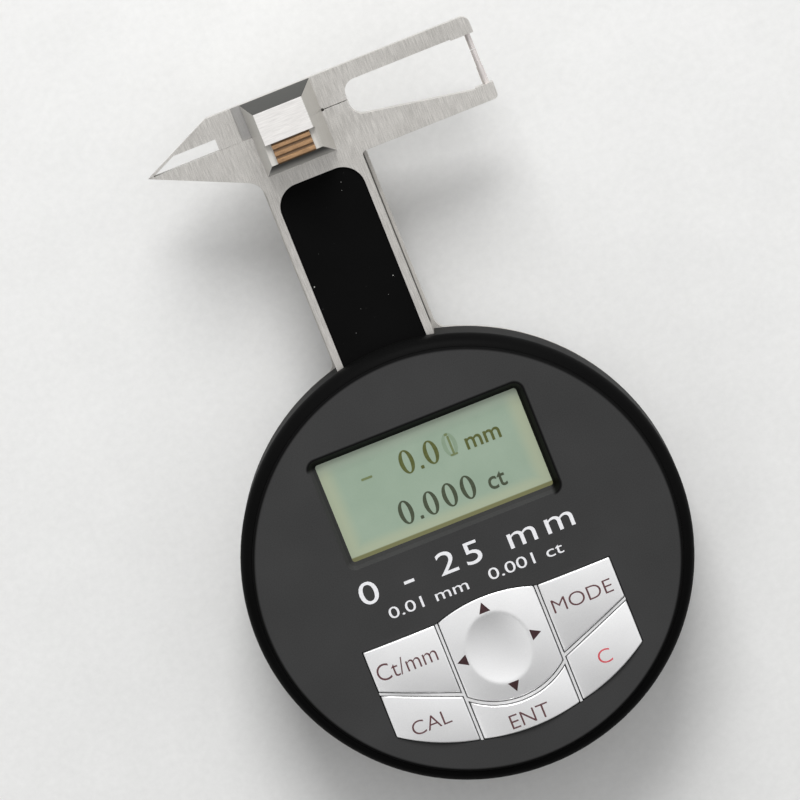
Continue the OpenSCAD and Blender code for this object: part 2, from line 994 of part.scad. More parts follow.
module slide_bar() {
    head_h = 0.9;
    color("silver")
        difference() {
            union() {
                translate([-bar_half, bar_start, bar_low])
                    cube([2 * bar_half, bar_end - bar_start, bar_top - bar_low]);
                translate([-ear_out, bar_start, bar_low])
                    cube([2 * ear_out, ear_l, bar_top - bar_low]);
                translate([-bar_half, part_high + 0.1, bar_low])
                    cube([2 * bar_half, bar_end - part_high - 0.1, z_jaw - bar_low]);
            }
            translate([-scale_half - seat, scale_y0 - seat, bar_top - scale_t])
                cube([2 * (scale_half + seat), scale_y1 - scale_y0 + 2 * seat, scale_t + cut / 2]);
            pair(slide_screw_at) {
                translate([0, 0, bar_low - cut])
                    cylinder(d = small_screw_d + 2 * seat, h = channel_h + 2 * cut);
                translate([0, 0, bar_low - cut])
                    cylinder(d = small_screw_d * 1.9 + 4 * seat, h = cut + head_h);
            }
        }
}

module scale_strip() {
    color("khaki")
        translate([-scale_half, scale_y0, bar_top - scale_t])
            cube([2 * scale_half, scale_y1 - scale_y0, scale_t]);
}

// Screws with the head towards the back
module slide_screws() {
    head = 0.8;
    low = bar_low + 0.05;
    color("gray")
        pair(slide_screw_at)
            translate([0, 0, z_jaw + jaw_t * 0.65])
                mirror([0, 0, 1])
                    screw(small_screw_d, z_jaw + jaw_t * 0.65 - low - head, small_screw_d * 1.9, head);
}

// Dowel pins that hold rails and lower jaw to the frame plate at the stem's end
module rail_pins() {
    color("gray")
        pair(rail_pin_at)
            translate([0, 0, z_plate])
                cylinder(d = small_screw_d, h = z_jaw + rail_pin_deep - z_plate);
}

module jaw_screws() {
    color("gray")
        pair(jaw_screw_at)
            translate([0, 0, z_plate])
                screw(small_screw_d, z_front - z_plate, small_screw_d * 1.9, 0.9);
}

module case_screws() {
    top = z_wall - 2;
    color("gray")
        at_bosses()
            translate([0, 0, top])
                mirror([0, 0, 1])
                    screw(case_screw_d, top - cap_set - head_h, 2 * head_r, head_h);
}

module board_screws() {
    top = z_wall - 0.4;
    color("gray")
        at_board_screws()
            translate([0, 0, top])
                mirror([0, 0, 1])
                    screw(small_screw_d, top - z_board, small_screw_d * 1.8, 0.7);
}

// Front housing

module front_outline() {
    crown = z_face - rim_step;
    square([body_r, crown - rim_r]);
    square([body_r - rim_r, crown]);
    translate([body_r - rim_r, crown - rim_r])
        circle(rim_r);
}

module key_field(gap) {
    w = half_pad - gap;
    low = pad_arc - gap;
    intersection() {
        union() {
            translate([-w, -2 * pad_foot])
                square([2 * w, 2 * pad_foot - pad_top - gap]);
            intersection() {
                translate([0, bulge_h - pad_top - bulge_r])
                    circle(bulge_r - gap);
                translate([-rib_x - cut, -2 * pad_top])
                    square([2 * (rib_x + cut), 2 * pad_top]);
            }
        }
        translate([0, pad_arc - pad_foot])
            circle(low);
    }
}

module front_housing() {
    color("black")
        difference() {
            union() {
                difference() {
                    rotate_extrude()
                        intersection() {
                            front_outline();
                            translate([0, z_channel])
                                square([body_r, z_face - z_channel]);
                        }
                    translate([0, 0, z_channel - cut])
                        cylinder(r = inner_r, h = z_wall - z_channel + cut);
                }
                at_bosses()
                    translate([0, 0, z_channel])
                        cylinder(r = boss_r, h = z_panel - z_channel);
                at_board_screws()
                    translate([0, 0, z_board_top])
                        cylinder(r = standoff_r, h = z_panel - z_board_top);
            }
            translate([0, 0, z_panel])
                cylinder(r = panel_r + seat, h = panel_t + cut);
            translate([0, view_mid, z_wall - cut])
                linear_extrude(front_t + 2 * cut)
                    square([opening_w, opening_h], center = true);
            translate([0, 0, z_wall - cut])
                linear_extrude(front_t + 2 * cut)
                    key_field(0);
            translate([-half_stem - 2 * seat, 0, z_channel - cut])
                cube([stem_w + 4 * seat, body_r + cut, cut + z_front + 2 * seat - z_channel]);
            at_bosses()
                translate([0, 0, z_channel - cut])
                    cylinder(d = case_screw_d + 2 * seat, h = z_wall - z_channel + cut - 1);
            at_board_screws()
                translate([0, 0, z_board_top - cut])
                    cylinder(d = small_screw_d + 2 * seat, h = key_room + cut);
        }
}

// Tapered opening over the display, from the face down to the glass
module view_taper() {
    over = 0.2;
    inner_w = view_w / 2 - recess_r;
    inner_h = view_h / 2 - recess_r;
    grow = bevel_w / bevel_h;
    hull()
        for (x = [-1, 1], y = [-1, 1])
            translate([x * inner_w, view_mid + y * inner_h, glass_z1 - over])
                cylinder(
                    h = bevel_h + 2 * over,
                    r1 = recess_r - grow * over,
                    r2 = recess_r + grow * (bevel_h + over),
                    $fn = 32
                );
}

module face_panel() {
    color([0.16, 0.16, 0.16])
        difference() {
            rotate_extrude()
                translate([0, z_panel]) {
                    square([panel_r - panel_round, panel_t]);
                    square([panel_r, panel_t - panel_round]);
                    translate([panel_r - panel_round, panel_t - panel_round])
                        intersection() {
                            circle(panel_round);
                            square(panel_round);
                        }
                }
            view_taper();
            translate([0, 0, z_panel - cut])
                linear_extrude(panel_t + 2 * cut)
                    key_field(0);
        }
}

module display_bezel() {
    color("black")
        difference() {
            translate([0, view_mid, glass_z1])
                linear_extrude(z_panel - glass_z1)
                    square([opening_w - 2 * seat, opening_h - 2 * seat], center = true);
            view_taper();
        }
}

module display_glass() {
    color("darkseagreen")
        translate([0, view_mid, glass_z0])
            linear_extrude(glass_t)
                square([glass_w, glass_h], center = true);
}

module display_reflector() {
    color("olivedrab")
        translate([0, view_mid, glass_z0 - reflector_t])
            linear_extrude(reflector_t)
                square([glass_w, glass_h - 2 * (strip_inset + strip_w + 0.2)], center = true);
}

// Places of the two conductive strips, above and below the view
module at_strips() {
    for (side = [-1, 1])
        translate([0, view_mid + side * (glass_h / 2 - strip_inset - strip_w / 2)])
            children();
}

module display_holder() {
    bed = glass_z0 - reflector_t;
    color("whitesmoke")
        difference() {
            translate([0, view_mid, z_board_top])
                linear_extrude(key_room)
                    square([holder_w, holder_h], center = true);
            translate([0, view_mid, bed])
                linear_extrude(key_room)
                    square([opening_w, opening_h], center = true);
            translate([0, 0, z_board_top - cut])
                linear_extrude(key_room + cut)
                    at_strips()
                        square([view_w + 2 * seat, strip_w + 2 * seat], center = true);
        }
}

module conductive_strips() {
    color("dimgray")
        translate([0, 0, z_board_top])
            linear_extrude(glass_z0 - z_board_top)
                at_strips()
                    square([view_w, strip_w], center = true);
}

// Main board and what it carries

module main_board() {
    color("darkgreen")
        translate([0, 0, z_board])
            linear_extrude(board_t)
                difference() {
                    intersection() {
                        circle(board_r);
                        translate([-body_r, -body_r])
                            square([body_d, body_r + board_top_y]);
                    }
                    at_bosses()
                        circle(boss_r + 0.4);
                    at_board_screws()
                        circle(d = small_screw_d + 2 * seat);
                }
}

module board_components() {
    step_x = 2 * small_w;
    step_y = small_l + small_w;
    color("darkslategray")
        translate([0, 0, z_board]) {
            translate([-chip_x - chip_w / 2, chip_y - chip_w / 2, -chip_h])
                cube([chip_w, chip_w, chip_h]);
            for (i = [0, 1], j = [0, 1])
                translate([chip_x - i * step_x, chip_y - j * step_y, -small_h])
                    cube([small_w, small_l, small_h]);
            translate([-chip_x, chip_y + chip_w, -small_h])
                cube([2 * small_l, small_w, small_h]);
        }
}

module reader_board() {
    color("teal")
        translate([-scale_half, scale_y0, z_board - reader_t])
            cube([2 * scale_half, reader_l, reader_t]);
}

module dome_switches() {
    cap_r = (dome_r * dome_r + dome_h * dome_h) / (2 * dome_h);
    color("silver")
        for (p = concat(key_middles, rocker_middles))
            translate([p[0], p[1], z_board_top])
                intersection() {
                    translate([0, 0, dome_h - cap_r])
                        sphere(cap_r, $fn = ball_fn);
                    cylinder(r = dome_r, h = dome_h);
                }
}

module keypad_mat() {
    post_room = 0.3;
    color("gainsboro")
        translate([0, 0, mat_top - mat_t])
            linear_extrude(mat_t)
                difference() {
                    key_field(-mat_lap);
                    translate([0, rocker_y])
                        square(pivot_l + 2 * post_room, center = true);
                }
}

// Keys and the grid between them

module key_grid() {
    slant_half = slant_gap * half_rib / half_cell;
    color("gainsboro")
        translate([0, 0, mat_top])
            linear_extrude(rib_top - mat_top)
                intersection() {
                    key_field(key_gap / 2);
                    union() {
                        for (side = [0, 1])
                            mirror([side, 0]) {
                                translate([rib_x - half_rib, -2 * pad_foot])
                                    square([rib_w, 2 * pad_foot]);
                                polygon([
                                    [rib_x, slant_y(rib_x) - slant_half],
                                    [half_pad, slant_y(half_pad) - slant_half],
                                    [half_pad, slant_y(half_pad) + slant_half],
                                    [rib_x, slant_y(rib_x) + slant_half]
                                ]);
                            }
                        intersection() {
                            translate([0, arc_y])
                                difference() {
                                    circle(arc_r + half_rib);
                                    circle(arc_r - half_rib);
                                }
                            translate([-rib_x, -2 * arc_foot])
                                square([2 * rib_x, 2 * arc_foot + arc_y]);
                        }
                    }
                }
}

// Field of the keys left of the upright rib, above or below the slanted rib
module side_cell(upper) {
    edge = rib_x + half_cell;
    step = upper ? slant_gap : -slant_gap;
    far_y = upper ? 0 : -2 * pad_foot;
    polygon([
        [-half_pad - cut, slant_y(half_pad + cut) + step],
        [-edge, slant_y(edge) + step],
        [-edge, far_y],
        [-half_pad - cut, far_y]
    ]);
}

// Crowned key of the outline given, with a retaining flange under the housing's wall
module key_body(middle) {
    crown_z = key_top - key_crown;
    intersection() {
        translate([0, 0, key_bottom])
            linear_extrude(key_top - key_bottom)
                intersection() {
                    key_field(key_gap);
                    children();
                }
        translate([middle[0], middle[1], crown_z])
            sphere(key_crown, $fn = ball_fn);
    }
    translate([0, 0, key_bottom])
        linear_extrude(flange_t)
            intersection() {
                key_field(-flange_w);
                children();
            }
}

module key_units() {
    color("gainsboro")
        key_body(key_middles[0])
            side_cell(true);
}

module key_mode() {
    color("gainsboro")
        key_body(key_middles[1])
            mirror([1, 0])
                side_cell(true);
}

module key_calibrate() {
    color("gainsboro")
        key_body(key_middles[2])
            side_cell(false);
}

module key_clear() {
    color("gainsboro")
        key_body(key_middles[3])
            mirror([1, 0])
                side_cell(false);
}

module key_enter() {
    edge = rib_x - half_cell;
    color("gainsboro")
        key_body(key_middles[4])
            difference() {
                translate([-edge, -2 * pad_foot])
                    square([2 * edge, 2 * pad_foot + arc_y]);
                translate([0, arc_y])
                    circle(arc_r + half_cell);
            }
}

// Rocker pad on a cross pivot, so that it tips to all four sides

module rocker_pad() {
    edge = rib_x - half_cell;
    dish_ball = (dish_r * dish_r + dish_h * dish_h) / (2 * dish_h);
    color("gainsboro")
        difference() {
            union() {
                intersection() {
                    translate([0, 0, rocker_low])
                        linear_extrude(key_top - rocker_low)
                            intersection() {
                                key_field(key_gap);
                                translate([-edge, -2 * arc_foot])
                                    square([2 * edge, 2 * arc_foot]);
                                translate([0, arc_y])
                                    circle(arc_r - half_cell);
                            }
                    translate([0, rocker_y, key_top - rocker_crown])
                        sphere(rocker_crown, $fn = ball_fn);
                }
                for (side = [-1, 1])
                    translate([0, rocker_y + side * (pivot_l / 2 - ear_t / 2), pivot_z])
                        rotate([90, 0, 0]) {
                            cylinder(r = ear_r, h = ear_t, center = true);
                            translate([-ear_r, 0, -ear_t / 2])
                                cube([2 * ear_r, rocker_low - pivot_z + cut / 2, ear_t]);
                        }
                for (p = rocker_middles)
                    translate([p[0], p[1], mat_top + rocker_tip])
                        cylinder(r = plunger_r, h = rocker_low - mat_top);
            }
            translate([0, rocker_y, pivot_z])
                rotate([90, 0, 0])
                    cylinder(r = pivot_r + pivot_clear, h = 2 * pivot_l, center = true);
            translate([dish_x, rocker_y, key_top - dish_h + dish_ball])
                sphere(dish_ball, $fn = ball_fn);
        }
}

module rocker_pivot() {
    color("gray")
        translate([0, rocker_y, pivot_z]) {
            rotate([90, 0, 0])
                cylinder(r = pivot_r, h = pivot_l, center = true);
            rotate([0, 90, 0])
                cylinder(r = pivot_r, h = pivot_l, center = true);
        }
}

module rocker_post() {
    base_t = 0.4;
    color("dimgray")
        difference() {
            union() {
                translate([-pivot_l / 2, rocker_y - ear_r, z_board_top])
                    cube([pivot_l, 2 * ear_r, base_t]);
                for (side = [-1, 1])
                    translate([side * (pivot_l / 2 - ear_t / 2), rocker_y, 0]) {
                        translate([-ear_t / 2, -ear_r, z_board_top])
                            cube([ear_t, 2 * ear_r, pivot_z - z_board_top]);
                        translate([0, 0, pivot_z])
                            rotate([0, 90, 0])
                                cylinder(r = ear_r, h = ear_t, center = true);
                    }
            }
            translate([0, rocker_y, pivot_z])
                rotate([0, 90, 0])
                    cylinder(r = pivot_r + pivot_clear, h = 2 * pivot_l, center = true);
        }
}

// Extension spring between a post on the frame plate and the end of the slide bar

spring_rings = 8;
spring_sides = 6;
coil_l = spring_y1 - spring_y0 - 2 * spring_tail;
coil_n = spring_turns * spring_rings;
function coil_point(i) =
    let (a = 360 * i / spring_rings)
    [spring_r * cos(a), spring_y0 + spring_tail + coil_l * i / coil_n, spring_z + spring_r * sin(a)];
spring_path = concat(
    [[spring_r, spring_y0, spring_z]],
    [for (i = [0 : coil_n]) coil_point(i)],
    [[spring_r, spring_y1, spring_z]]
);
function path_way(i) =
    let (last = len(spring_path) - 1)
    i == 0 || i == last ? [0, 1, 0]
    : let (d = spring_path[i + 1] - spring_path[i - 1]) d / norm(d);
function path_out(i) =
    let (p = spring_path[i], o = [p[0], 0, p[2] - spring_z], w = path_way(i), e = o - (o * w) * w)
    e / norm(e);

module return_spring() {
    n = len(spring_path);
    ring = [
        for (i = [0 : n - 1])
            let (o = path_out(i), s = cross(path_way(i), o))
            for (k = [0 : spring_sides - 1])
                let (a = 360 * k / spring_sides)
                spring_path[i] + wire_d / 2 * (cos(a) * o + sin(a) * s)
    ];
    sides = [
        for (i = [0 : n - 2], k = [0 : spring_sides - 1])
            let (a = i * spring_sides + k, b = i * spring_sides + (k + 1) % spring_sides)
            each [[a, b, b + spring_sides], [a, b + spring_sides, a + spring_sides]]
    ];
    ends = [
        for (k = [1 : spring_sides - 2])
            each [[0, k + 1, k], [for (j = [0, k, k + 1]) (n - 1) * spring_sides + j]]
    ];
    color("silver")
        polyhedron(points = ring, faces = concat(sides, ends));
}

module spring_post() {
    head_r = post_r + 0.4;
    head_t = 0.4;
    color("gray")
        translate([0, post_y, 0]) {
            translate([0, 0, z_plate])
                cylinder(r = post_r, h = z_jaw - z_plate - head_t);
            translate([0, 0, z_jaw - head_t])
                cylinder(r = head_r, h = head_t);
        }
}

back_cover();
battery_cap();
cap_seal();
coin_cell();
cell_holder();
cell_contacts();
frame_plate();
left_rail();
right_rail();
lower_jaw();
stem_cover();
lower_pin();
front_housing();
face_panel();
display_bezel();
display_glass();
display_reflector();
display_holder();
conductive_strips();
main_board();
board_components();
dome_switches();
keypad_mat();
key_grid();
key_units();
key_mode();
key_clear();
key_calibrate();
key_enter();
rocker_pad();
rocker_pivot();
rocker_post();
upper_jaw();
thumb_rest();
grip_pad();
thumb_pins();
slide_bar();
scale_strip();
slide_screws();
upper_pin();
reader_board();
return_spring();
spring_post();
case_screws();
jaw_screws();
rail_pins();
board_screws();
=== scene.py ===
import json
import math

import bpy
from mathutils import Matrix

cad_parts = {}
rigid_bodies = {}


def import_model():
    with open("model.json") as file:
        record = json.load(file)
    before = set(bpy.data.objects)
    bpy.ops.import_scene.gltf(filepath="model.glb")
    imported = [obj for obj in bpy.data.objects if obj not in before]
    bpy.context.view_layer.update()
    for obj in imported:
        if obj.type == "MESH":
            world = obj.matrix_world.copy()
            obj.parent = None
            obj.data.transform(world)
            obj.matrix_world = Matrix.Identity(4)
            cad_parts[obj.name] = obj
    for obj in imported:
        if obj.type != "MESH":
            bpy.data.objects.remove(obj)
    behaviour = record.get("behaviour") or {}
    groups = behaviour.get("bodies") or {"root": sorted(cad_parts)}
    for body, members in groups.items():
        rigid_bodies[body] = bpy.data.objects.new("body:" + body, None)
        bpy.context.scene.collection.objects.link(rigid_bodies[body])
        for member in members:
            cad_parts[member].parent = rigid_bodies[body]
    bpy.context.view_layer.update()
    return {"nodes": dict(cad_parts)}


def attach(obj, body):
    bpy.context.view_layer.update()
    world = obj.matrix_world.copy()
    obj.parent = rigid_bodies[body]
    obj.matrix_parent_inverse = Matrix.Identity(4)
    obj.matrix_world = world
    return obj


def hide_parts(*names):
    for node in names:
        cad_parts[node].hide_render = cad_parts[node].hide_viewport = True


# the file starts empty, so that only the gauge is in it
bpy.ops.object.select_all(action="SELECT")
bpy.ops.object.delete()

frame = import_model()
nodes = frame["nodes"]
mm = 0.001


# camera and lamps

view = {
    "place": (0.029384, 0.105619, 0.618158),
    "turn": (-0.141982, -0.003299, -0.379075),
    "lens": 189,
    "sensor": 36,
    "farthest": 10,
}
bpy.ops.object.camera_add(location=view["place"], rotation=view["turn"])
camera = bpy.context.object
camera.name = "camera"
camera.data.lens = view["lens"]
camera.data.sensor_width = view["sensor"]
camera.data.clip_end = view["farthest"]
bpy.context.scene.camera = camera
bpy.context.scene.view_settings.view_transform = "Standard"

lampAim = 0.03  # the lamps face this y on the gauge's middle line
lamps = {
    "softbox": {"place": (0.16, 0.76, 0.60), "size": 0.45, "power": 8.0},
    "fill": {"place": (-0.55, -0.30, 0.60), "size": 0.60, "power": 1.0},
}
for lampName, lamp in lamps.items():
    x, y, z = lamp["place"]
    flat = math.hypot(x, y - lampAim)
    turn = (math.atan2(flat, z), 0, math.atan2(x, lampAim - y))
    bpy.ops.object.light_add(type="AREA", location=lamp["place"], rotation=turn)
    light = bpy.context.object
    light.name = lampName
    light.data.size = lamp["size"]
    light.data.energy = lamp["power"]

print("camera and lamps set")


# finishes: node materials on Object coordinates, in metres

class Wire:
    # an output socket; arithmetic on it adds Math nodes to its finish
    def __init__(self, finish, socket):
        self.finish = finish
        self.socket = socket

    def calc(self, operation, first, second):
        return self.finish.make("ShaderNodeMath", {"operation": operation}, {0: first, 1: second})

    def __add__(self, other):
        return self.calc("ADD", self, other)

    def __radd__(self, other):
        return self.calc("ADD", other, self)

    def __sub__(self, other):
        return self.calc("SUBTRACT", self, other)

    def __rsub__(self, other):
        return self.calc("SUBTRACT", other, self)

    def __mul__(self, other):
        return self.calc("MULTIPLY", self, other)

    def __rmul__(self, other):
        return self.calc("MULTIPLY", other, self)

    def __gt__(self, other):
        return self.calc("GREATER_THAN", self, other)

    def __abs__(self):
        return self.calc("ABSOLUTE", self, 0)


class Finish:
    # the node tree of a material or a world, and the shader in it
    def __init__(self, holder, shaderName="Principled BSDF"):
        holder.use_nodes = True
        self.holder = holder
        self.tree = holder.node_tree
        self.shader = self.tree.nodes[shaderName]

    def make(self, kind, settings=None, sockets=None, output=0):
        node = self.tree.nodes.new(kind)
        for name, value in (settings or {}).items():
            if name == "stops":
                self.setStops(node.color_ramp, value)
            else:
                setattr(node, name, value)
        for name, value in (sockets or {}).items():
            self.feed(node.inputs[name], value)
        return Wire(self, node.outputs[output])

    def setStops(self, ramp, stops):
        for element, (place, color) in zip(ramp.elements, stops):
            element.position = place
            element.color = (*color, 1)

    def feed(self, socket, value):
        if isinstance(value, Wire):
            self.tree.links.new(value.socket, socket)
        elif isinstance(value, tuple) and len(value) == 3 and socket.type == "RGBA":
            socket.default_value = (*value, 1)
        else:
            socket.default_value = value

    def surface(self, sockets):
        for name, value in sockets.items():
            self.feed(self.shader.inputs[name], value)
        return self.holder

    def spot(self, output="Object"):
        return self.make("ShaderNodeTexCoord", output=output)

    def axes(self):
        split = self.make("ShaderNodeSeparateXYZ", None, {0: self.spot()})
        return [Wire(self, output) for output in split.socket.node.outputs]

    def noise(self, stretch, detail, roughness, shift=(0, 0, 0)):
        # stretch is how many lumps of the pattern fit in a metre, for all axes or for each
        if not isinstance(stretch, tuple):
            stretch = (stretch, stretch, stretch)
        spread = self.make("ShaderNodeMapping", None,
                           {"Vector": self.spot(), "Location": shift, "Scale": stretch})
        return self.make("ShaderNodeTexNoise", None,
                         {"Vector": spread, "Scale": 1.0, "Detail": detail, "Roughness": roughness})

    def tones(self, value, look, low=0.30, high=0.70):
        # from the look's dark to its light tone; a noise seldom leaves low and high
        return self.make("ShaderNodeValToRGB", {"stops": [(low, look["dark"]), (high, look["light"])]},
                         {0: value})

    def span(self, value, low, high, first=0.0, last=1.0):
        # a soft step from first at low to last at high; low may be the larger of the two
        return self.make("ShaderNodeMapRange", {"interpolation_type": "SMOOTHSTEP"},
                         {"Value": value, "From Min": low, "From Max": high,
                          "To Min": first, "To Max": last})

    def blend(self, share, first, second):
        # 6, 7 and 2 are the Mix node's sockets for colours
        return self.make("ShaderNodeMix", {"data_type": "RGBA"}, {0: share, 6: first, 7: second}, 2)

    def most(self, first, second):
        return self.make("ShaderNodeMath", {"operation": "MAXIMUM"}, {0: first, 1: second})

    def root(self, value):
        return self.make("ShaderNodeMath", {"operation": "SQRT"}, {0: value})

    def bump(self, height, strength, depth):
        return self.make("ShaderNodeBump", None,
                         {"Height": height, "Strength": strength, "Distance": depth})


# soft sky, brighter towards the far side, as from a large screen there
sky = {"color": (0.98, 0.98, 0.985), "toward": (0.45, 0.72, 0.42), "low": 0.08, "high": 0.88,
       "start": -0.08, "end": 0.54}
studio = Finish(bpy.data.worlds.new("studio"), "Background")
facing = studio.make("ShaderNodeVectorMath", {"operation": "DOT_PRODUCT"},
                     {0: studio.spot("Generated"), 1: sky["toward"]}, 1)
bpy.context.scene.world = studio.surface({
    "Color": sky["color"],
    "Strength": studio.span(facing, sky["start"], sky["end"], sky["low"], sky["high"]),
})

# painted shade: a dark line along the stem, in the corner between the rails and the plate under them
groove = {
    "tone": (0.085, 0.082, 0.076), "share": 0.9,
    "middle": 0.00738, "across": (0.00027, 0.00017),
    "height": (0.0105, 0.0103),
    "midway": 0.0478, "along": (0.0151, 0.0141),
}


def stemCornerShade(finish, tone):
    x, y, z = finish.axes()
    line = finish.span(abs(abs(x) - groove["middle"]), *groove["across"])
    low = finish.span(z, *groove["height"])
    along = finish.span(abs(y - groove["midway"]), *groove["along"])
    return finish.blend(line * low * along * groove["share"], tone, groove["tone"])


# the thumb block, with painted light and shade: a paler top as a painted highlight, the raised block
# lighter as painted light, a greyer right flank, dark end faces and a darker pocket floor as painted
# shade
block = {
    "plate": 0.016, "raised": (0.01603, 0.01608), "dull": 0.42,
    "top": (0.02295, 0.02299), "topLines": (420, 5600, 5600),
    "topTones": {"dark": (0.70, 0.68, 0.66), "light": (0.88, 0.86, 0.835)},
    "flank": (0.72, 0.705, 0.66), "flankRight": (0.42, 0.405, 0.37), "flankShare": 0.7,
    "rightSide": (0.0022, 0.0028),
    "farLean": 0.2386, "farFoot": (0.07304, 0.07308), "farRough": 0.3,
    "endDark": (0.030, 0.030, 0.028), "endLight": (0.075, 0.075, 0.070),
    "nearLean": 0.2551, "nearFoot": (0.06210, 0.06206),
    "nearLow": (0.80, 0.785, 0.75), "nearRise": (0.0160, 0.0212),
    "pocket": 0.0155, "pocketEdge": (0.00004, 0.00001),
    "pocketTone": (0.34, 0.335, 0.33), "pocketShare": 0.7,
}


def blockTones(finish, tone, metal, rough, lines):
    x, y, z = finish.axes()
    above = z - block["plate"]
    raised = finish.span(z, *block["raised"])
    far = raised * finish.span(y + above * block["farLean"], *block["farFoot"])
    near = raised * finish.span(y - above * block["nearLean"], *block["nearFoot"])
    top = finish.span(z, *block["top"])
    # painted shade on the pocket's floor
    pocket = finish.span(abs(z - block["pocket"]), *block["pocketEdge"])
    # the raised block painted lighter, as if lit, and its right flank greyer, as painted shade
    flank = finish.blend(finish.span(x, *block["rightSide"]), block["flank"], block["flankRight"])
    # the far face painted dark, as shade and a dark reflection; the near face painted dark under the pad
    # and lighter at its foot
    farTone = finish.blend(lines, block["endDark"], block["endLight"])
    nearTone = finish.blend(finish.span(z, *block["nearRise"]), block["nearLow"], block["endDark"])
    # the top painted paler, as a painted highlight, over its fine lines
    topTone = finish.tones(finish.noise(block["topLines"], detail=4, roughness=0.65), block["topTones"])
    tone = finish.blend(raised * block["flankShare"], tone, flank)
    tone = finish.blend(far, tone, farTone)
    tone = finish.blend(near, tone, nearTone)
    tone = finish.blend(top, tone, topTone)
    tone = finish.blend(pocket * block["pocketShare"], tone, block["pocketTone"])
    return tone, (metal - raised * block["dull"]) * (1 - far), rough + far * block["farRough"]


# ground metal: fine lines along one axis, specks between them, under a cloudy shine
grind = {"specks": 6500, "clouds": 220, "lineShare": 0.55, "speckShare": 0.25, "cloudShare": 0.20,
         "roughen": 0.12, "shine": 0.2, "depth": 0.00002}


def steelFinish(name, look):
    finish = Finish(bpy.data.materials.new(name))
    lines = finish.noise(look["lines"], detail=5, roughness=0.65)
    specks = finish.noise(grind["specks"], detail=2, roughness=0.6)
    clouds = finish.noise(grind["clouds"], detail=3, roughness=0.5)
    mixed = lines * grind["lineShare"] + specks * grind["speckShare"] + clouds * grind["cloudShare"]
    tone = finish.tones(mixed, look)
    metal = look.get("metal", 1.0)
    rough = look["rough"] + lines * grind["roughen"]
    if name == "steel":  # the plates, jaws and thumb block
        # painted shade in the stem's corners, then painted light and shade on the thumb block
        tone = stemCornerShade(finish, tone)
        tone, metal, rough = blockTones(finish, tone, metal, rough, lines)
    return finish.surface({
        "Base Color": tone, "Metallic": metal, "Roughness": rough, "Specular IOR Level": grind["shine"],
        "Normal": finish.bump(lines, look["bump"], grind["depth"]),
    })


steels = {
    "steel": {"lines": (6500, 420, 6500), "dark": (0.38, 0.365, 0.34), "light": (0.83, 0.805, 0.765),
              "rough": 0.30, "bump": 0.08, "metal": 0.72},
    "pin_steel": {"lines": (1500, 300, 1500), "dark": (0.60, 0.56, 0.54), "light": (0.84, 0.79, 0.765),
                  "rough": 0.20, "bump": 0.01, "metal": 0.70},
    "pivot_steel": {"lines": (400, 5000, 5000), "dark": (0.40, 0.40, 0.40), "light": (0.62, 0.62, 0.61),
                    "rough": 0.22, "bump": 0.05},
    "screw_steel": {"lines": 3000, "dark": (0.36, 0.36, 0.37), "light": (0.60, 0.60, 0.60),
                    "rough": 0.24, "bump": 0.08},
    "spring_steel": {"lines": (3000, 600, 3000), "dark": (0.40, 0.40, 0.41), "light": (0.62, 0.62, 0.61),
                     "rough": 0.22, "bump": 0.04},
    "cell_steel": {"lines": (2600, 2600, 500), "dark": (0.52, 0.52, 0.51), "light": (0.70, 0.70, 0.68),
                   "rough": 0.20, "bump": 0.04},
    "dome_steel": {"lines": 2600, "dark": (0.58, 0.58, 0.57), "light": (0.74, 0.74, 0.72),
                   "rough": 0.16, "bump": 0.03},
    "contact_brass": {"lines": (3000, 500, 3000), "dark": (0.50, 0.36, 0.15), "light": (0.70, 0.53, 0.25),
                      "rough": 0.24, "bump": 0.05},
}

# the display's frame: its far and right sides painted black, as painted shade; its corners painted
# rounded off into the face
window = {
    "middle": 0.0132, "wide": 0.01655, "tall": 0.00855, "round": 0.0013, "edge": (0.00045, 0.00015),
    "right": (0.0149, 0.0157), "far": (0.0201, 0.0209), "black": (0.0015, 0.0015, 0.0015),
}


def frameTones(finish, tone, around):
    x, y = finish.axes()[:2]
    pastX = finish.most(abs(x) - (window["wide"] - window["round"]), 0)
    pastY = finish.most(abs(y - window["middle"]) - (window["tall"] - window["round"]), 0)
    reach = finish.root(pastX * pastX + pastY * pastY) - window["round"]
    inside = finish.span(reach, *window["edge"])
    # painted shade: the far and right sides of the frame go black
    side = finish.most(finish.span(x, *window["right"]), finish.span(y, *window["far"]))
    return finish.blend(inside, around or tone, finish.blend(side, tone, window["black"]))


# moulded plastic: fine grain and slight mottling
mould = {"mottle": 90, "grainShare": 0.6, "mottleShare": 0.4, "roughen": 0.10, "shine": 0.5,
         "depth": 0.00003}
dust = {"fine": 2600, "shift": (3.1, 0, 0), "thin": 0.79, "full": 0.83, "tone": (0.42, 0.42, 0.40),
        "roughen": 0.5}
# painted shade on the face's rounded outer edge
edgeShade = {"reach": (0.0306, 0.0310), "tone": (0.0015, 0.0015, 0.0015), "roughen": 0.4}


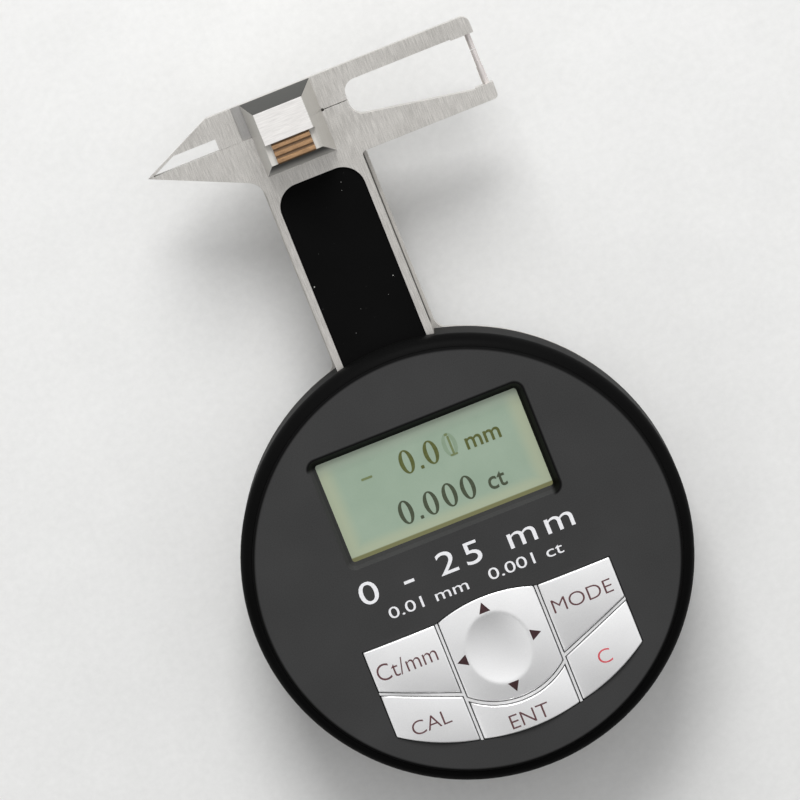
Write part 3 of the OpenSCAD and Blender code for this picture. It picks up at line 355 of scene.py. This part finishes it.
def mouldFinish(name, look):
    finish = Finish(bpy.data.materials.new(name))
    grain = finish.noise(look["grain"], detail=3, roughness=0.6)
    mottle = finish.noise(mould["mottle"], detail=3, roughness=0.5)
    tone = finish.tones(grain * mould["grainShare"] + mottle * mould["mottleShare"], look)
    rough = look["rough"] + (mottle - 0.5) * mould["roughen"]
    if "dustFrom" in look:  # a little dust past this y
        y = finish.axes()[1]
        specks = finish.noise(dust["fine"], detail=1, roughness=0.4, shift=dust["shift"])
        specks = finish.span(specks, dust["thin"], dust["full"]) * (y > look["dustFrom"])
        tone = finish.blend(specks, tone, dust["tone"])
        rough = rough + specks * dust["roughen"]
    if look.get("shadedEdge"):  # painted shade on the face's rounded edge, where it turns down
        x, y = finish.axes()[:2]
        edge = finish.span(finish.root(x * x + y * y), *edgeShade["reach"])
        tone = finish.blend(edge, tone, edgeShade["tone"])
        rough = rough + edge * edgeShade["roughen"]
    if "around" in look:  # the tone round the display's frame, None for the face itself; its far and right sides get painted shade
        tone = frameTones(finish, tone, look["around"])
    return finish.surface({
        "Base Color": tone, "Roughness": rough, "Metallic": look.get("metal", 0.0),
        "Specular IOR Level": look.get("shine", mould["shine"]),
        "Normal": finish.bump(grain, look["bump"], mould["depth"]),
    })


moulds = {
    "shell_black": {"grain": 9000, "dark": (0.003, 0.003, 0.003), "light": (0.005, 0.005, 0.005),
                    "rough": 0.42, "bump": 0.02, "shine": 0.012, "dustFrom": 0.0335},
    "back_black": {"grain": 3600, "dark": (0.010, 0.010, 0.010), "light": (0.020, 0.020, 0.021),
                   "rough": 0.48, "bump": 0.16, "shine": 0.35},
    "face_grey": {"grain": 5200, "dark": (0.033, 0.033, 0.033), "light": (0.047, 0.047, 0.047),
                  "rough": 0.46, "bump": 0.10, "shine": 0.10, "shadedEdge": True, "around": None},
    "bezel_black": {"grain": 5200, "dark": (0.030, 0.030, 0.030), "light": (0.042, 0.042, 0.042),
                    "rough": 0.46, "bump": 0.03, "shine": 0.05, "around": (0.040, 0.040, 0.040)},
    "cap_grey": {"grain": 3000, "dark": (0.020, 0.020, 0.021), "light": (0.034, 0.034, 0.035),
                 "rough": 0.44, "bump": 0.14, "shine": 0.35},
    "seal_rubber": {"grain": 2600, "dark": (0.016, 0.016, 0.016), "light": (0.028, 0.028, 0.028),
                    "rough": 0.70, "bump": 0.10},
    "inner_plastic": {"grain": 2600, "dark": (0.05, 0.05, 0.055), "light": (0.09, 0.09, 0.095),
                      "rough": 0.45, "bump": 0.06},
    "holder_white": {"grain": 2600, "dark": (0.66, 0.66, 0.63), "light": (0.78, 0.78, 0.75),
                     "rough": 0.45, "bump": 0.06},
    "reflector": {"grain": 3000, "dark": (0.55, 0.57, 0.52), "light": (0.66, 0.68, 0.62),
                  "rough": 0.38, "bump": 0.05, "metal": 0.3},
    "strip_rubber": {"grain": 2600, "dark": (0.22, 0.06, 0.05), "light": (0.32, 0.09, 0.07),
                     "rough": 0.60, "bump": 0.08},
    "board_green": {"grain": 1800, "dark": (0.010, 0.075, 0.030), "light": (0.020, 0.120, 0.050),
                    "rough": 0.34, "bump": 0.08},
    "chip_black": {"grain": 2600, "dark": (0.012, 0.012, 0.013), "light": (0.024, 0.024, 0.025),
                   "rough": 0.55, "bump": 0.10},
    "mat_rubber": {"grain": 2200, "dark": (0.040, 0.040, 0.042), "light": (0.065, 0.065, 0.068),
                   "rough": 0.62, "bump": 0.08},
    "grid_light": {"grain": 3800, "dark": (0.62, 0.62, 0.62), "light": (0.76, 0.76, 0.76),
                   "rough": 0.36, "bump": 0.05, "metal": 0.2},
    "scale_film": {"grain": 3000, "dark": (0.55, 0.38, 0.16), "light": (0.70, 0.50, 0.22),
                   "rough": 0.28, "bump": 0.04, "metal": 0.5},
}
finishes = {name: steelFinish(name, look) for name, look in steels.items()}
finishes.update({name: mouldFinish(name, look) for name, look in moulds.items()})

# silver lacquer over plastic: fine metal flake under a clear coat
pearl = {"dark": (0.88, 0.88, 0.88), "light": (0.98, 0.98, 0.98), "metal": 0.72, "rough": 0.31,
         "flake": 7000, "cloud": 120, "flakeShare": 0.5, "cloudShare": 0.5, "roughen": 0.12,
         "coat": 0.12, "coatRough": 0.25, "bump": 0.05, "depth": 0.00002}


def pearlFinish(name, look):
    finish = Finish(bpy.data.materials.new(name))
    flake = finish.noise(look["flake"], detail=2, roughness=0.6)
    cloud = finish.noise(look["cloud"], detail=2, roughness=0.5)
    return finish.surface({
        "Base Color": finish.tones(flake * look["flakeShare"] + cloud * look["cloudShare"], look),
        "Metallic": look["metal"], "Roughness": look["rough"] + flake * look["roughen"],
        "Coat Weight": look["coat"], "Coat Roughness": look["coatRough"],
        "Normal": finish.bump(flake, look["bump"], look["depth"]),
    })


finishes["key_pearl"] = pearlFinish("key_pearl", pearl)

# brown lacquered grip: the grooves between the ribs are painted darker, as shade
grip = {"dark": (0.22, 0.124, 0.060), "light": (0.46, 0.275, 0.140), "grooveShade": (0.185, 0.112, 0.060),
        "groove": 0.02252, "ridge": 0.02278, "streak": (500, 3200, 3200), "pits": 3600,
        "streakShare": 0.7, "pitShare": 0.3, "low": 0.32, "high": 0.68, "metal": 0.25,
        "rough": 0.38, "roughen": 0.2, "bump": 0.15, "depth": 0.00003}


def gripFinish(name, look):
    finish = Finish(bpy.data.materials.new(name))
    z = finish.axes()[2]
    streak = finish.noise(look["streak"], detail=4, roughness=0.6)
    pits = finish.noise(look["pits"], detail=3, roughness=0.6)
    mixed = streak * look["streakShare"] + pits * look["pitShare"]
    padTone = finish.tones(mixed, look, look["low"], look["high"])
    # painted shade in the grooves between the ribs
    onRib = finish.span(z, look["groove"], look["ridge"])
    return finish.surface({
        "Base Color": finish.blend(onRib, look["grooveShade"], padTone),
        "Metallic": look["metal"], "Roughness": look["rough"] + pits * look["roughen"],
        "Normal": finish.bump(pits, look["bump"], look["depth"]),
    })


finishes["grip_bronze"] = gripFinish("grip_bronze", grip)

# reflective display: grey-green field, yellower border, a paler head that is painted light against the
# frame's shadow, olive ledge at the foot
display = {
    "dark": (0.255, 0.335, 0.255), "light": (0.295, 0.375, 0.29),
    "cloud": 160, "dots": 9000, "cloudShare": 0.7, "dotShare": 0.3,
    "border": (0.36, 0.40, 0.28), "side": (0.0127, 0.0149), "foot": (0.0084, 0.0066), "borderShare": 0.85,
    "pale": (0.42, 0.49, 0.39), "head": (0.0186, 0.0208), "paleShare": 0.8,
    "olive": (0.16, 0.16, 0.07), "ledge": (0.0063, 0.0061),
    "rough": 0.30, "roughen": 0.1, "shine": 0.3, "coat": 0.2, "coatRough": 0.08,
}


def displayFinish(name, look):
    finish = Finish(bpy.data.materials.new(name))
    x, y = finish.axes()[:2]
    cloud = finish.noise(look["cloud"], detail=3, roughness=0.5)
    dots = finish.noise(look["dots"], detail=1, roughness=0.5)
    tone = finish.tones(cloud * look["cloudShare"] + dots * look["dotShare"], look)
    border = finish.most(finish.span(abs(x), *look["side"]), finish.span(y, *look["foot"]))
    tone = finish.blend(border * look["borderShare"], tone, look["border"])
    # painted light: the head of the field is paler, against the frame's shadow
    tone = finish.blend(finish.span(y, *look["head"]) * look["paleShare"], tone, look["pale"])
    tone = finish.blend(finish.span(y, *look["ledge"]), tone, look["olive"])
    return finish.surface({
        "Base Color": tone, "Roughness": look["rough"] + cloud * look["roughen"],
        "Specular IOR Level": look["shine"],
        "Coat Weight": look["coat"], "Coat Roughness": look["coatRough"],
    })


finishes["display_glass"] = displayFinish("display_glass", display)

# printed or shown marks: thin ink, a little uneven
inkWear = {"fine": 2600, "low": 0.25, "high": 0.75, "roughen": 0.1, "shine": 0.2}
inks = {
    "ink_brown": {"dark": (0.085, 0.035, 0.040), "light": (0.13, 0.060, 0.062), "rough": 0.45},
    "ink_arrow": {"dark": (0.030, 0.014, 0.015), "light": (0.060, 0.028, 0.030), "rough": 0.45},
    "ink_red": {"dark": (0.50, 0.055, 0.075), "light": (0.62, 0.11, 0.13), "rough": 0.45},
    "ink_white": {"dark": (0.68, 0.68, 0.70), "light": (0.82, 0.82, 0.84), "rough": 0.50},
    "shown_olive": {"dark": (0.070, 0.080, 0.022), "light": (0.11, 0.125, 0.040), "rough": 0.40},
    "shown_dark": {"dark": (0.045, 0.056, 0.034), "light": (0.070, 0.084, 0.052), "rough": 0.40},
    "shown_half": {"dark": (0.13, 0.16, 0.070), "light": (0.17, 0.21, 0.10), "rough": 0.40},
    "shown_faint": {"dark": (0.205, 0.275, 0.195), "light": (0.235, 0.31, 0.22), "rough": 0.40},
}


def inkFinish(name, look):
    finish = Finish(bpy.data.materials.new(name))
    wear = finish.noise(inkWear["fine"], detail=3, roughness=0.6)
    return finish.surface({
        "Base Color": finish.tones(wear, look, inkWear["low"], inkWear["high"]),
        "Roughness": look["rough"] + wear * inkWear["roughen"], "Specular IOR Level": inkWear["shine"],
    })


inkFinishes = {name: inkFinish(name, look) for name, look in inks.items()}

for node in nodes.values():
    for holder in node.material_slots:
        holder.material = finishes[holder.material.name.split(".")[0]]
print("finishes:", len(finishes) + len(inkFinishes))


# helpers for new pieces

def deselect():
    if bpy.context.object and bpy.context.object.mode != "OBJECT":
        bpy.ops.object.mode_set(mode="OBJECT")
    bpy.ops.object.select_all(action="DESELECT")


def editAll():
    bpy.ops.object.mode_set(mode="EDIT")
    bpy.ops.mesh.select_all(action="SELECT")


def closeEdit():
    # all faces are turned outward before edit mode ends
    bpy.ops.mesh.select_all(action="SELECT")
    bpy.ops.mesh.normals_make_consistent(inside=False)
    bpy.ops.object.mode_set(mode="OBJECT")


def thicken(depth):
    bpy.ops.mesh.select_all(action="SELECT")
    bpy.ops.mesh.extrude_region_move(TRANSFORM_OT_translate={"value": (0, 0, depth * mm)})
    closeEdit()


def applyModifier(piece, kind, **settings):
    modifier = piece.modifiers.new(kind.lower(), kind)
    for key, value in settings.items():
        setattr(modifier, key, value)
    bpy.ops.object.modifier_apply(modifier=modifier.name)


def dress(piece, name, material, body):
    piece.name = name
    piece.data.name = name
    piece.data.materials.clear()
    piece.data.materials.append(material)
    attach(piece, body)


# metal pieces with their edges broken, as after grinding; lengths in millimetres, angles in degrees

easing = {"merge": 0.002, "flat": 0.4, "sharp": 32, "steps": 2, "smooth": 30}
easedPieces = {
    "upper_jaw": {"name": "jaw_upper", "body": "slider", "slot": "steel", "edge": 0.05},
    "lower_jaw": {"name": "jaw_lower", "body": "case", "slot": "steel", "edge": 0.05},
    "thumb_rest": {"name": "thumb_half", "body": "slider", "slot": "steel", "edge": 0.05},
    "grip_pad": {"name": "grip_ribs", "body": "slider", "slot": "grip_bronze", "edge": 0.04},
}


def easedCopy(nodeName, look):
    deselect()
    piece = bpy.data.objects.new(look["name"], nodes[nodeName].data.copy())
    bpy.context.collection.objects.link(piece)
    bpy.context.view_layer.objects.active = piece
    piece.select_set(True)
    bpy.ops.mesh.customdata_custom_splitnormals_clear()
    editAll()
    bpy.ops.mesh.remove_doubles(threshold=easing["merge"] * mm)
    bpy.ops.mesh.dissolve_limited(angle_limit=math.radians(easing["flat"]))
    bpy.ops.object.mode_set(mode="OBJECT")
    applyModifier(piece, "BEVEL", width=look["edge"] * mm, segments=easing["steps"], limit_method="ANGLE",
                  angle_limit=math.radians(easing["sharp"]))
    bpy.ops.object.shade_smooth_by_angle(angle=math.radians(easing["smooth"]))
    applyModifier(piece, "WEIGHTED_NORMAL", keep_sharp=True)
    dress(piece, look["name"], finishes[look["slot"]], look["body"])
    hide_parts(nodeName)


for nodeName, look in easedPieces.items():
    easedCopy(nodeName, look)
print("metal pieces eased:", len(easedPieces))


# keys: pillowed caps with rounded rims, in millimetres until placed

caps = {
    "top": 20.6, "foot": 16.9, "crown": 45.0,
    "outer": 19.15, "inner": 8.08, "middle": 7.42, "head": -7.05,  # where their sides are
    "rim": 0.14, "rimSteps": 3, "sharp": 50, "smooth": 40,
    "steps": 28, "dishSteps": 56,  # how finely a cap is divided
}
dish = {"x": -0.45, "y": -13.5, "wide": 4.8, "tall": 5.4, "deep": 0.75}
split = {"x": 19.3, "y": -13.5, "rise": 0.40693, "half": 0.355}
arcs = {
    "lowerFoot": {"middle": 8.1, "radius": 34.35, "side": -1},
    "enterHead": {"middle": -10.1, "radius": 12.03, "side": -1},
    "rockerFoot": {"middle": -10.1, "radius": 11.37, "side": -1},
    "rockerHead": {"middle": -28.47, "radius": 22.77, "side": 1},
}


def slant(side):
    # along the slanting split between two keys; side is 1 over it and -1 under it
    return lambda x: split["y"] - split["rise"] * (split["x"] - abs(x)) + side * split["half"]


def arc(name):
    # along a circle round (0, middle); side is 1 for its far half and -1 for its near half
    look = arcs[name]
    return lambda x: look["middle"] + look["side"] * math.sqrt(look["radius"] ** 2 - x * x)


def level(x):
    return caps["head"]


keys = {
    "key_units": {"left": -caps["outer"], "right": -caps["inner"], "body": "units_button",
                  "high": level, "low": slant(1), "middle": (-13.6, -11.3)},
    "key_mode": {"left": caps["inner"], "right": caps["outer"], "body": "mode_button",
                 "high": level, "low": slant(1), "middle": (13.6, -11.3)},
    "key_clear": {"left": caps["inner"], "right": caps["outer"], "body": "clear_button",
                  "high": slant(-1), "low": arc("lowerFoot"), "middle": (13.6, -20.3)},
    "key_calibrate": {"left": -caps["outer"], "right": -caps["inner"], "body": "calibrate_button",
                      "high": slant(-1), "low": arc("lowerFoot"), "middle": (-13.6, -20.3)},
    "key_enter": {"left": -caps["middle"], "right": caps["middle"], "body": "enter_button",
                  "high": arc("enterHead"), "low": arc("lowerFoot"), "middle": (0.0, -23.6)},
    "rocker_pad": {"left": -caps["middle"], "right": caps["middle"], "body": "rocker",
                   "high": arc("rockerHead"), "low": arc("rockerFoot"), "middle": (0.0, -13.5),
                   "crown": 60.0, "foot": 18.25, "steps": caps["dishSteps"], "dish": dish},
}


def capHeight(key, x, y):
    # the crown falls away from the key's middle, and the rocker has a dish in it
    reach = math.hypot(x - key["middle"][0], y - key["middle"][1])
    radius = key.get("crown", caps["crown"])
    height = caps["top"] - radius + math.sqrt(radius ** 2 - reach ** 2)
    if "dish" in key:
        hollow = key["dish"]
        spread = math.hypot((x - hollow["x"]) / hollow["wide"], (y - hollow["y"]) / hollow["tall"])
        height -= hollow["deep"] * max(0, 1 - spread ** 2)
    return height


def pillowKey(nodeName, key):
    deselect()
    steps = key.get("steps", caps["steps"])
    foot = key.get("foot", caps["foot"])
    bpy.ops.mesh.primitive_grid_add(x_subdivisions=steps, y_subdivisions=steps, size=1)
    cap = bpy.context.object
    for corner in cap.data.vertices:  # the grid is 1 wide and has its middle at 0
        x = key["left"] + (corner.co.x + 0.5) * (key["right"] - key["left"])
        y = key["low"](x) + (corner.co.y + 0.5) * (key["high"](x) - key["low"](x))
        corner.co = (x * mm, y * mm, capHeight(key, x, y) * mm)
    editAll()
    bpy.ops.mesh.extrude_region_move(TRANSFORM_OT_translate={"value": (0, 0, (foot - caps["top"]) * mm)})
    bpy.ops.object.mode_set(mode="OBJECT")
    for corner in cap.data.vertices:
        if corner.select:  # the new end is made flat
            corner.co.z = foot * mm
    editAll()
    closeEdit()
    applyModifier(cap, "BEVEL", width=caps["rim"] * mm, segments=caps["rimSteps"], limit_method="ANGLE",
                  angle_limit=math.radians(caps["sharp"]))
    bpy.ops.object.shade_smooth_by_angle(angle=math.radians(caps["smooth"]))
    dress(cap, nodeName + "_cap", finishes["key_pearl"], key["body"])
    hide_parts(nodeName)


for nodeName, key in keys.items():
    pillowKey(nodeName, key)
print("keys:", len(keys))


# print on the keys and the face, and what the display shows

strokes = {"thick": 0.012, "lift": 0.012, "curve": 5}
faceTop = 20.0
glassTop = 18.4


def lettering(name, look, height):
    # look gives the words, the middle, and the width and tallness to fill; height the surface under them
    deselect()
    bpy.ops.object.text_add()
    words = bpy.context.object
    words.data.body = look["words"]
    words.data.size = look["tall"] * mm
    words.data.offset = look.get("thin", 0) * mm
    words.data.extrude = strokes["thick"] * mm
    words.data.resolution_u = strokes["curve"]
    words.data.space_character = look.get("spacing", 1)
    bpy.ops.object.convert(target="MESH")
    words = bpy.context.object
    if "cuts" in look:  # long strokes are cut, so that they follow a crowned key
        editAll()
        bpy.ops.mesh.subdivide(number_cuts=look["cuts"])
        bpy.ops.object.mode_set(mode="OBJECT")
    xs = [corner.co.x for corner in words.data.vertices]
    ys = [corner.co.y for corner in words.data.vertices]
    wide = look["wide"] * mm / (max(xs) - min(xs))
    tall = look["tall"] * mm / (max(ys) - min(ys))
    midX = (max(xs) + min(xs)) / 2
    midY = (max(ys) + min(ys)) / 2
    for corner in words.data.vertices:
        x = look["x"] * mm + (corner.co.x - midX) * wide
        y = look["y"] * mm + (corner.co.y - midY) * tall
        corner.co = (x, y, corner.co.z + (height(x / mm, y / mm) + strokes["lift"]) * mm)
    dress(words, name, inkFinishes[look["ink"]], look["body"])


keyWords = {
    "key_units": {"words": "Ct/mm", "x": -13.8, "y": -10.7, "wide": 9.2, "tall": 2.5},
    "key_mode": {"words": "MODE", "x": 13.5, "y": -10.85, "wide": 9.2, "tall": 2.05},
    "key_clear": {"words": "C", "x": 13.3, "y": -20.3, "wide": 2.0, "tall": 2.1, "ink": "ink_red"},
    "key_calibrate": {"words": "CAL", "x": -13.7, "y": -20.15, "wide": 5.9, "tall": 2.1},
    "key_enter": {"words": "ENT", "x": 0.0, "y": -24.5, "wide": 6.0, "tall": 2.1},
}
for nodeName, look in keyWords.items():
    key = keys[nodeName]
    settings = {"ink": "ink_brown", "body": key["body"], "thin": -0.02, "cuts": 2, **look}
    lettering(nodeName + "_print", settings, lambda x, y, key=key: capHeight(key, x, y))

faceWords = {
    "print_range": {"words": "0 - 25 mm", "x": 0.0, "y": 0.9, "wide": 33.0, "tall": 3.4, "spacing": 1.25},
    "print_step": {"words": "0.01 mm   0.001 ct", "x": 0.0, "y": -3.1, "wide": 27.0, "tall": 1.7},
}
for name, look in faceWords.items():
    lettering(name, {"ink": "ink_white", "body": "case", **look}, lambda x, y: faceTop)

shownWords = {
    "shown_mm": {"words": "mm", "x": 8.6, "y": 15.7, "wide": 5.3, "tall": 1.75, "ink": "shown_olive"},
    "shown_ct": {"words": "ct", "x": 8.2, "y": 9.2, "wide": 2.7, "tall": 2.3, "ink": "shown_dark"},
}
for name, look in shownWords.items():
    lettering(name, {"body": "case", "thin": 0.02, **look}, lambda x, y: glassTop)
print("words:", len(keyWords) + len(faceWords) + len(shownWords))


def stamp(pattern, name, x, y, z, ink):
    # a copy of a display mark, with its own mesh, set in place
    mark = bpy.data.objects.new(name, pattern.data.copy())
    bpy.context.collection.objects.link(mark)
    for corner in mark.data.vertices:
        corner.co.x += x * mm
        corner.co.y += y * mm
        corner.co.z += z * mm
    dress(mark, name, inkFinishes[ink], "case")


# display noughts: thick sides, thin top and foot; a faint one is sunk under what is shown over it
nought = {"wide": 2.15, "tall": 3.6, "innerWide": 0.442, "innerTall": 0.88, "steps": 40, "thick": 0.02,
          "sunk": 0.009}
noughts = {
    "shown_0a": (-2.95, 16.5, "shown_olive"), "shown_0b": (0.82, 16.5, "shown_olive"),
    "shown_ghost": (3.75, 16.55, "shown_faint"), "shown_0c": (-5.75, 9.65, "shown_dark"),
    "shown_0d": (-1.9, 9.6, "shown_dark"), "shown_0e": (1.05, 9.7, "shown_dark"),
    "shown_0f": (3.9, 9.75, "shown_dark"),
}
deselect()
bpy.ops.mesh.primitive_circle_add(vertices=nought["steps"], radius=0.5, fill_type="NOTHING")
ring = bpy.context.object
ring.scale = (nought["wide"] * mm, nought["tall"] * mm, 1)
bpy.ops.object.transform_apply(location=False, rotation=False, scale=True)
editAll()
bpy.ops.mesh.extrude_edges_move(TRANSFORM_OT_translate={"value": (0, 0, 0)})
bpy.ops.transform.resize(value=(nought["innerWide"], nought["innerTall"], 1))
thicken(nought["thick"])
for name, (x, y, ink) in noughts.items():
    sunk = nought["sunk"] if ink == "shown_faint" else 0
    stamp(ring, name, x, y, glassTop - sunk, ink)
bpy.data.objects.remove(ring)

# points, the minus sign and the fading one: thin bars from squares, with their corners rounded
barShape = {"round": 0.10, "steps": 2, "thick": 0.02}
bars = {
    "shown_point_a": {"x": -1.05, "y": 14.95, "wide": 0.5, "tall": 0.5, "ink": "shown_olive"},
    "shown_point_b": {"x": -3.8, "y": 8.15, "wide": 0.5, "tall": 0.5, "ink": "shown_dark"},
    "shown_minus": {"x": -9.2, "y": 16.4, "wide": 1.7, "tall": 0.35, "ink": "shown_half"},
    "shown_one_stem": {"x": 3.87, "y": 16.5, "wide": 0.34, "tall": 2.7, "ink": "shown_half"},
    "shown_one_foot": {"x": 3.87, "y": 15.0, "wide": 1.15, "tall": 0.30, "ink": "shown_half"},
    "shown_one_head": {"x": 3.72, "y": 18.1, "wide": 0.50, "tall": 0.36, "ink": "shown_half"},
}
for name, bar in bars.items():
    deselect()
    bpy.ops.mesh.primitive_plane_add(size=mm)
    plate = bpy.context.object
    plate.scale = (bar["wide"], bar["tall"], 1)
    bpy.ops.object.transform_apply(location=False, rotation=False, scale=True)
    editAll()
    bpy.ops.mesh.bevel(offset=barShape["round"] * mm, segments=barShape["steps"], affect="VERTICES")
    thicken(barShape["thick"])
    stamp(plate, name, bar["x"], bar["y"], glassTop, bar["ink"])
    bpy.data.objects.remove(plate)
print("display marks:", len(noughts) + len(bars))

# arrowheads round the rocker's dish, cut so that they follow its crown
arrow = {"tall": 1.55, "half": 0.85, "cuts": 3, "thick": 0.02}
arrows = {
    "rocker_arrow_up": {"x": -0.5, "y": -7.4, "turn": 0},
    "rocker_arrow_right": {"x": 5.05, "y": -13.5, "turn": -90},
    "rocker_arrow_down": {"x": -0.4, "y": -19.5, "turn": 180},
    "rocker_arrow_left": {"x": -5.95, "y": -13.5, "turn": 90},
}
arrowWide = arrow["half"] / math.sin(math.radians(60))  # from a circle of three corners and radius 1
arrowTall = arrow["tall"] / 1.5
for name, look in arrows.items():
    deselect()
    bpy.ops.mesh.primitive_circle_add(vertices=3, radius=mm, fill_type="NGON")
    head = bpy.context.object
    editAll()
    bpy.ops.transform.resize(value=(arrowWide, arrowTall, 1))
    bpy.ops.mesh.subdivide(number_cuts=arrow["cuts"])
    thicken(arrow["thick"])
    turn = math.radians(look["turn"])
    for corner in head.data.vertices:
        x = look["x"] * mm + corner.co.x * math.cos(turn) - corner.co.y * math.sin(turn)
        y = look["y"] * mm + corner.co.x * math.sin(turn) + corner.co.y * math.cos(turn)
        corner.co = (x, y, corner.co.z + capHeight(keys["rocker_pad"], x / mm, y / mm) * mm)
    dress(head, name, inkFinishes["ink_arrow"], "rocker")
print("arrowheads:", len(arrows))


# plain pale floor, just under the gauge

ground = {"size": 3, "height": -0.00003, "grain": 900, "dark": (0.72, 0.72, 0.71),
          "light": (0.78, 0.78, 0.77), "rough": 0.75, "bump": 0.05, "shine": 0.2}
deselect()
bpy.ops.mesh.primitive_plane_add(size=ground["size"], location=(0, 0, ground["height"]))
floor = bpy.context.object
floor.name = "floor"
floor.data.materials.append(mouldFinish("floor_pale", ground))
print("floor laid")
